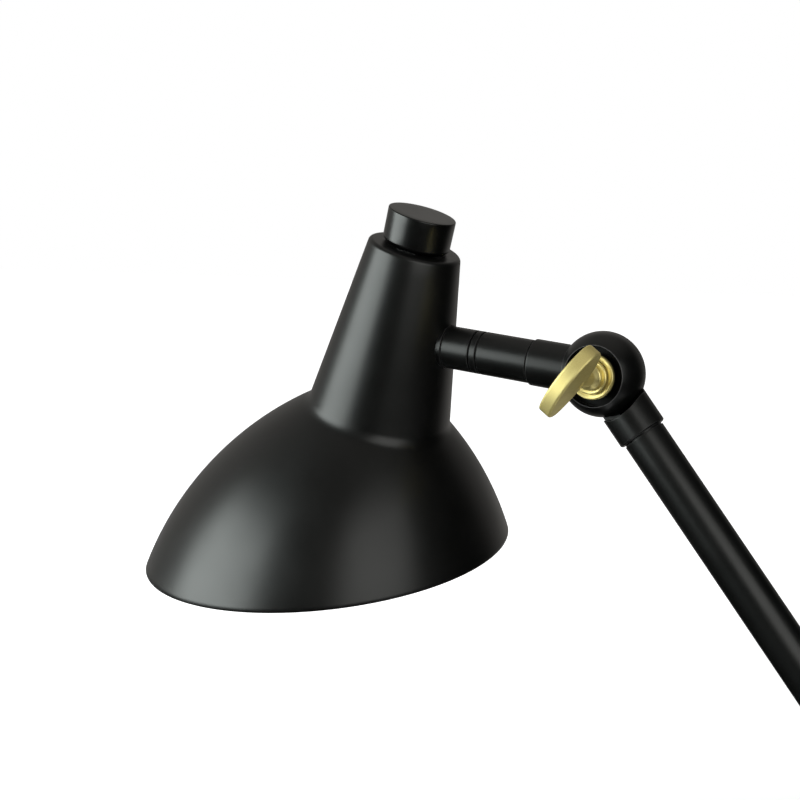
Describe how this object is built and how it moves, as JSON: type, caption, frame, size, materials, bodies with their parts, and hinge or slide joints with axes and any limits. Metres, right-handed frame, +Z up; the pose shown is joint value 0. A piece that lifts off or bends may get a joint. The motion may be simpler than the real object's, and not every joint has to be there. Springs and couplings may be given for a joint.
{
  "type": "desk lamp",
  "caption": "Adjustable desk lamp with a weighted round base, straight tube arm, split ball knuckles with thumb screws, and a swivelling spun shade.",
  "frame": {"origin": "centre of the underside of the base, on the desk", "axes": "+Z up, the lamp plane is XZ with the shade towards -X, and the thumb screws face -Y"},
  "size_m": [0.5145, 0.19, 0.41],
  "materials": {
    "black_paint": "satin black paint",
    "knob_paint": "satin black paint on turned aluminium",
    "brass": "satin, brushed and lacquered",
    "steel": "zinc plated",
    "iron": "as cast",
    "rubber": "matt",
    "bakelite": "moulded, half matt",
    "nylon": "natural nylon",
    "cap_metal": "bright",
    "opal_glass": "opal"
  },
  "bodies": {
    "base": {"base_pad": "rubber", "base_weight": "iron", "base_cover": "black_paint", "lead_gland": "rubber", "base_washer": "steel", "base_nut": "steel", "base_rod": "steel", "stem_flange": "black_paint", "stem_bush": "steel", "stem_tube": "black_paint", "lower_screw_half": "black_paint", "lower_dished_washer": "brass"},
    "arm": {"lower_nut_half": "black_paint", "lower_friction_disc": "nylon", "arm_tube": "black_paint", "upper_nut_half": "black_paint", "upper_friction_disc": "nylon"},
    "lower_screw": {"lower_thumb_screw": "brass"},
    "upper_screw": {"upper_thumb_screw": "brass"},
    "stub": {"upper_screw_half": "black_paint", "upper_dished_washer": "brass", "stub_tube": "black_paint", "swivel_bush": "brass"},
    "head": {"swivel_washer": "nylon", "swivel_nut": "steel", "swivel_nipple": "steel", "swivel_ring": "black_paint", "seat_sleeve": "black_paint", "shade": "black_paint", "seat_washer": "steel", "seat_nut": "steel", "switch_body": "bakelite", "switch_nut": "steel", "holder_bracket": "steel", "holder_nut": "steel", "holder_nipple": "steel", "holder_cap": "bakelite", "holder_sleeve": "bakelite", "holder_thread": "brass", "holder_contact": "brass", "bulb_cap": "cap_metal", "bulb_tip": "brass", "bulb_glass": "opal_glass"},
    "knob": {"switch_knob": "knob_paint", "switch_shaft": "steel"}
  },
  "joints": [
    {"name": "arm_tilt", "type": "hinge", "parent": "base", "child": "arm", "pos_m": [0, 0, 0.072], "axis": [0, -1, 0], "range_deg": [-60, 28]},
    {"name": "head_tilt", "type": "hinge", "parent": "arm", "child": "stub", "pos_m": [-0.21954, 0, 0.35098], "axis": [0, -1, 0], "range_deg": [-90, 42]},
    {"name": "head_swivel", "type": "hinge", "parent": "stub", "child": "head", "pos_m": [-0.21954, 0, 0.35098], "axis": [-0.9943, 0, 0.1063], "range_deg": [-162.1, 177.9]},
    {"name": "lower_screw_turn", "type": "hinge", "parent": "arm", "child": "lower_screw", "pos_m": [0, 0, 0.072], "axis": [0, -1, 0], "range_deg": [0, 180]},
    {"name": "upper_screw_turn", "type": "hinge", "parent": "arm", "child": "upper_screw", "pos_m": [-0.21954, 0, 0.35098], "axis": [0, -1, 0], "range_deg": [0, 180]},
    {"name": "knob_turn", "type": "hinge", "parent": "head", "child": "knob", "pos_m": [-0.29309, -0.00473, 0.39314], "axis": [-0.3097, 0.1344, -0.9413], "range_deg": [0, 90]}
  ]
}
